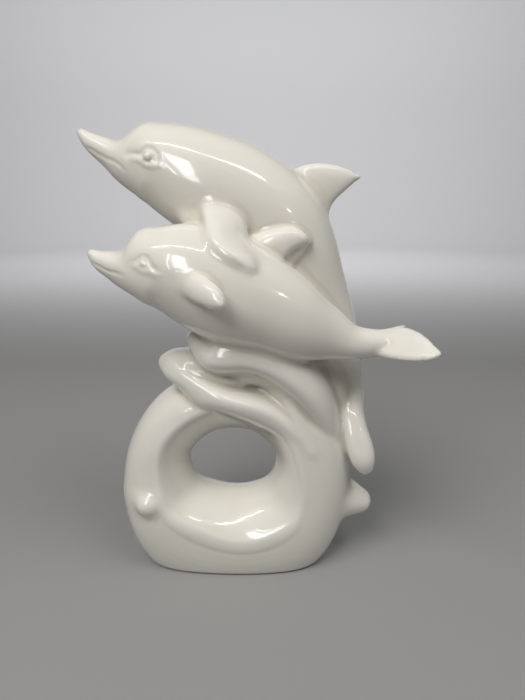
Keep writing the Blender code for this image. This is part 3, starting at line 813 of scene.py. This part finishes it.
# %% Divide the skin near the strokes
mesh = bmesh.new()
mesh.from_mesh(body_mesh)
bmesh.ops.subdivide_edges(mesh, edges=mesh.edges, cuts=1, use_grid_fill=True)
points = [v.co for form, *_ in carved for v in form.data.vertices]
strokes = BVHTree.FromPolygons(points, [[i] * 3 for i in range(len(points))])
for reach in (3.0 * MM, 1.6 * MM):
    near = {v for v in mesh.verts if strokes.find_nearest(v.co, reach)[0] is not None}
    edges = [e for e in mesh.edges if e.verts[0] in near and e.verts[1] in near]
    bmesh.ops.subdivide_edges(mesh, edges=edges, cuts=1, use_grid_fill=True)
    print("divided", len(edges), "edges near the strokes")
mesh.to_mesh(body_mesh)
mesh.free()

# %% Settle onto the carved surface and measure the hollows
# Pooling Reach scales the hollow measure, which sets glaze pooling together with painted shade and painted
# highlight.
carving = geometry_wiring("settle_on_the_carving", fillet_share=1.0, foot_rounding=FOOT_ROUND,
                          pooling_reach=1.0)
distance = joined_distance(carving, clay, carved)
skin = settle(carving, carving.start.outputs["Geometry"], distance, 1)
skin = settle(carving, skin, distance, 1, even_out=False)
# The hollow measure feeds the glaze colour: painted shade in hollows and painted highlight on convex edges,
# each partly real glaze pooling or thinning.
place = carving.add("GeometryNodeInputPosition").outputs[0]
normal = carving.add("GeometryNodeInputNormal").outputs[0]
average = carving.add("GeometryNodeBlurAttribute", {"data_type": "FLOAT_VECTOR"}, Value=place, Iterations=14)
offset = carving.add("ShaderNodeVectorMath", {"operation": "SUBTRACT"}, n0=average.outputs[0], n1=place)
hollow = carving.dot(offset.outputs[0], normal) * (1 / MM) * carving.start.outputs["Pooling Reach"]
skin = carving.add("GeometryNodeStoreNamedAttribute", {"data_type": "FLOAT", "domain": "POINT"},
                   Geometry=skin, Name="hollow", Value=hollow).outputs[0]
skin = carving.add("GeometryNodeSetShadeSmooth", n0=skin).outputs[0]
carving.add("NodeGroupOutput", n0=skin)
figure_mesh = run_tree(carving, body_mesh, "porcelain_dolphins")
figure = bpy.data.objects.new("porcelain_dolphins", figure_mesh)
scene.collection.objects.link(figure)
for form, *_ in clay + carved:
    bpy.data.objects.remove(form)
hollows = np.array([item.value for item in figure_mesh.attributes["hollow"].data])
triangles = sum(len(face.vertices) - 2 for face in figure_mesh.polygons)
print("the figure has", triangles, "triangles")
print("its places lie", hollows.min().round(2), "to", hollows.max().round(2), "mm below their surroundings,",
      "and nine in ten of them", np.percentile(hollows, (5, 95)).round(3))

# %% [markdown]
# ## The glaze
# Slip-cast porcelain like this is dipped in a clear gloss glaze. The body under it is a warm white. Glaze
# runs thin over edges and pools in hollows. Its colour is painted whiter on convex edges and creamier and
# darker in hollows, partly for that glaze and partly as painted highlight and painted shade. A dipped coat is
# never quite flat, so highlights waver. A few specks of iron fire into any glaze, and the foot is wiped bare.

# %% Name the colours of the glaze and the heights of its relief in metres
WARM_WHITE = (0.815, 0.785, 0.715, 1)
CLOUDED_WHITE = (0.80, 0.778, 0.712, 1)
# The whiter colour for convex edges is partly thin glaze and partly painted highlight.
THIN_WHITE_AND_EDGE_LIGHT = (0.855, 0.835, 0.785, 1)
# The darker cream for hollows is partly glaze pooling and partly painted shade.
POOLED_CREAM_AND_SHADE = (0.70, 0.665, 0.575, 1)
IRON_BROWN = (0.16, 0.12, 0.085, 1)
BARE_BODY = (0.74, 0.70, 0.63, 1)
WIPED_HEIGHT, GLAZED_HEIGHT = 0.0004, 0.0009
RIPPLE_HEIGHT = 0.0002
PEEL_HEIGHT = 0.000004
GRIT_HEIGHT = 0.00006
SPECK_HEIGHT = 0.00003
SPECK_RADIUS = 0.00032
print("the foot is bare up to", WIPED_HEIGHT / MM, "mm")

# %% Mix the glazed porcelain
porcelain = bpy.data.materials.new("glazed_porcelain_finish")
porcelain.use_nodes = True
porcelain.node_tree.nodes.clear()
glaze = Wiring(porcelain.node_tree)
place = glaze.add("ShaderNodeTexCoord").outputs["Object"]
height = glaze.term(glaze.add("ShaderNodeSeparateXYZ", n0=place).outputs["Z"])
hollow = glaze.term(glaze.add("ShaderNodeAttribute", {"attribute_name": "hollow"}).outputs["Fac"])
# This mask takes the hollows, where a darker cream stands partly for glaze pooling and partly for painted
# shade.
pooled_and_shaded = hollow.smooth_step(0.02, 0.45)
# This mask takes the convex edges, where a whiter colour stands partly for thin glaze and partly for painted
# highlight.
thin = hollow.smooth_step(-0.05, -0.6)
bare = height.smooth_step(GLAZED_HEIGHT, WIPED_HEIGHT)


def mixed(factor, first, second):
    """The first colour where factor is 0, the second where it is 1."""
    node = glaze.add("ShaderNodeMix", {"data_type": "RGBA"})
    slots = {s.identifier: s for s in node.inputs}
    for slot, value in (("Factor_Float", factor), ("A_Color", first), ("B_Color", second)):
        feed(glaze.tree, slots[slot], value)
    return next(s for s in node.outputs if s.identifier == "Result_Color")


def noise(scale, detail):
    made = glaze.add("ShaderNodeTexNoise", Vector=place, Scale=scale, Detail=detail)
    return glaze.term(made.outputs["Fac"])


def specks(scale, size, share):
    """Dots of that radius in metres, in that share of the cells."""
    cells = glaze.add("ShaderNodeTexVoronoi", Vector=place, Scale=scale)
    chance = glaze.term(glaze.add("ShaderNodeSeparateColor", n0=cells.outputs["Color"]).outputs[0])
    spread = glaze.term(cells.outputs["Distance"]) / scale
    return spread.smooth_step(size, size * 0.4) * chance.smooth_step(share, share * 0.9)


print("the glaze has", len(porcelain.node_tree.nodes), "nodes so far")

# %% Colour, gloss and waver
cloud = noise(16.0, 3.0)
colour = mixed(cloud, WARM_WHITE, CLOUDED_WHITE)
# Painted highlight on convex edges, partly thin glaze.
colour = mixed(thin * 0.7, colour, THIN_WHITE_AND_EDGE_LIGHT)
# Painted shade in hollows, partly glaze pooling.
colour = mixed(pooled_and_shaded * 0.75, colour, POOLED_CREAM_AND_SHADE)
specked = specks(75.0, SPECK_RADIUS, 0.045)
colour = mixed(specked * 0.65, colour, IRON_BROWN)
colour = mixed(bare, colour, BARE_BODY)
rough = 0.16 + cloud * 0.05 + bare * 0.5
coated = 1.0 - bare
ripple = (noise(42.0, 1.0) - 0.5) * RIPPLE_HEIGHT
peel = (noise(420.0, 1.0) - 0.5) * PEEL_HEIGHT
grit = (noise(2600.0, 2.0) - 0.5) * GRIT_HEIGHT * bare
lumps = ripple + peel + grit + specked * SPECK_HEIGHT
relief = glaze.add("ShaderNodeBump", Strength=1.0, Distance=1.0, Height=lumps)
finish = {"Base Color": colour, "Roughness": rough, "IOR": 1.5, "Normal": relief.outputs[0],
          "Coat Weight": coated, "Coat Roughness": 0.03, "Coat IOR": 1.5}
shader = glaze.add("ShaderNodeBsdfPrincipled", **finish)
glaze.add("ShaderNodeOutputMaterial", Surface=shader.outputs[0])
figure_mesh.materials.clear()
figure_mesh.materials.append(porcelain)
print("the glaze has", len(porcelain.node_tree.nodes), "nodes")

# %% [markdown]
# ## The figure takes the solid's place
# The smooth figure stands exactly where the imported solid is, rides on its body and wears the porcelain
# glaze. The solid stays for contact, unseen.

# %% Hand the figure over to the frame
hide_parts("dolphin_figurine")
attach(figure, "root")
print("figure", tuple(round(v, 4) for v in figure.dimensions))

# %% [markdown]
# ## A plain studio
# Glazed porcelain shows what is around it, so the room is part of the finish. A pale grey bowl is floor and
# backdrop in one, without a seam to reflect. Four panels are seen only in the glaze: two of a tall window
# give the soft patches on both cheeks, a long thin one overhead draws the bright line along both heads, and
# a small one adds sparks on the right. Three broad panels that the glaze doesn't show do the lighting: the
# key light from the upper left, a fill from the upper right, and a wash over the backdrop.

# %% Turn the floor and backdrop
def plain_material(name, colour, rough):
    """One colour and one roughness, for the studio's floor."""
    made = bpy.data.materials.new(name)
    made.use_nodes = True
    shader = made.node_tree.nodes["Principled BSDF"]
    shader.inputs["Base Color"].default_value = (*colour, 1)
    shader.inputs["Roughness"].default_value = rough
    return made


FLOOR_RADIUS, FLOOR_RISE = 2.4, 0.02
BEND_RADIUS = 0.9
WALL_HEIGHT = 3.2
profile = [(0.5, 0), (1.6, 0), (FLOOR_RADIUS, FLOOR_RISE)]
for bend in np.linspace(0.12, math.pi / 2, 14):
    rise = FLOOR_RISE + BEND_RADIUS * (1 - math.cos(bend))
    profile.append((FLOOR_RADIUS + BEND_RADIUS * math.sin(bend), rise))
profile += [(FLOOR_RADIUS + BEND_RADIUS, height) for height in (WALL_HEIGHT / 2, WALL_HEIGHT)]
mesh = bmesh.new()
turns = np.linspace(0, 2 * math.pi, 96, endpoint=False)
rings = [[mesh.verts.new((r * math.cos(t), r * math.sin(t), z)) for t in turns] for r, z in profile]
middle = mesh.verts.new((0, 0, 0))
for i in range(len(turns)):
    j = (i + 1) % len(turns)
    mesh.faces.new((rings[0][i], rings[0][j], middle))
    for low_ring, high_ring in zip(rings, rings[1:]):
        mesh.faces.new((high_ring[i], high_ring[j], low_ring[j], low_ring[i]))
floor_mesh = bpy.data.meshes.new("studio_floor")
mesh.to_mesh(floor_mesh)
mesh.free()
floor_mesh.shade_smooth()
floor = bpy.data.objects.new("studio_floor", floor_mesh)
floor_mesh.materials.append(plain_material("studio_paper", (0.31, 0.31, 0.31), 0.7))
scene.collection.objects.link(floor)
floor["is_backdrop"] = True
print("the floor is", floor.dimensions.x, "m across")

# %% Hang the lights
AIM = Vector((0, 0, 0.17))
BACKDROP = Vector((0, 3.0, 0.6))
DAYLIGHT = (0.90, 0.95, 1.0)


def panel(name, azimuth, elevation, away, width, height, power, colour, aim=AIM, gleam=True):
    """A soft rectangular panel, with angles in degrees, lengths in metres and power in watts.

    One with a gleam is seen only in the glaze, and one without only lights.
    """
    a, e = math.radians(azimuth), math.radians(elevation)
    toward = Vector((math.sin(a) * math.cos(e), -math.cos(a) * math.cos(e), math.sin(e)))
    light = bpy.data.lights.new(name, "AREA")
    light.shape = "RECTANGLE"
    light.size, light.size_y = width, height
    light.energy = power
    light.color = colour
    lamp = bpy.data.objects.new(name, light)
    lamp.location = aim + toward * away
    lamp.rotation_euler = toward.to_track_quat("Z", "Y").to_euler()
    lamp.visible_camera = False
    lamp.visible_glossy = gleam
    lamp.visible_diffuse = not gleam
    scene.collection.objects.link(lamp)


panel("window", -17.5, 23, 1.6, 0.25, 0.84, 4, DAYLIGHT)
panel("window_edge", -26, 23, 1.6, 0.05, 0.84, 0.9, DAYLIGHT)
panel("ceiling_strip", -8, 58, 1.7, 1.9, 0.05, 4, (1.0, 0.98, 0.95))
panel("small_lamp", 37, 23, 1.8, 0.07, 0.07, 0.5, (1.0, 0.97, 0.92))
panel("key_light", -38, 52, 1.5, 0.9, 0.9, 18.5, (1.0, 0.98, 0.94), gleam=False)
panel("right_fill", 56, 54, 1.5, 0.8, 0.8, 8.5, (1.0, 0.985, 0.96), gleam=False)
panel("backdrop_wash", 0, 30, 1.9, 2.4, 0.9, 90, (0.97, 0.97, 1.0), aim=BACKDROP, gleam=False)

scene.view_settings.view_transform = "Standard"
world = bpy.data.worlds.new("studio_air")
world.use_nodes = True
scene.world = world
background = world.node_tree.nodes["Background"]
background.inputs["Color"].default_value = (0.93, 0.96, 1.0, 1)
background.inputs["Strength"].default_value = 0.08

# %% [markdown]
# ## The camera
# The photograph was taken by hand, about a third of a metre away and slightly to the right, looking a little
# down. Its angle and its lens were worked out from the perspective of the photograph.

# %% Set up the camera
FOCAL_PIXELS = 495
PICTURE_HEIGHT_PIXELS = 700
CAMERA_PLACE = (0.020, -0.323, 0.257)
DOWNWARD_TILT = 16.75
camera = bpy.data.cameras.new("camera")
camera.sensor_width = 36
camera.lens = FOCAL_PIXELS / PICTURE_HEIGHT_PIXELS * camera.sensor_width
camera.clip_start = 0.01
viewer = bpy.data.objects.new("camera", camera)
viewer.location = CAMERA_PLACE
viewer.rotation_euler = (math.radians(90 - DOWNWARD_TILT), 0, 0)
scene.collection.objects.link(viewer)
scene.camera = viewer
print("the lens is", round(camera.lens, 1), "mm")

# %% Print the two boxes and finish
boxes = {"cad": [list(corner) for corner in cad_box], "visual": [list(corner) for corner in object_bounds()]}
print({name: [[round(v * 1000, 1) for v in corner] for corner in box] for name, box in boxes.items()})
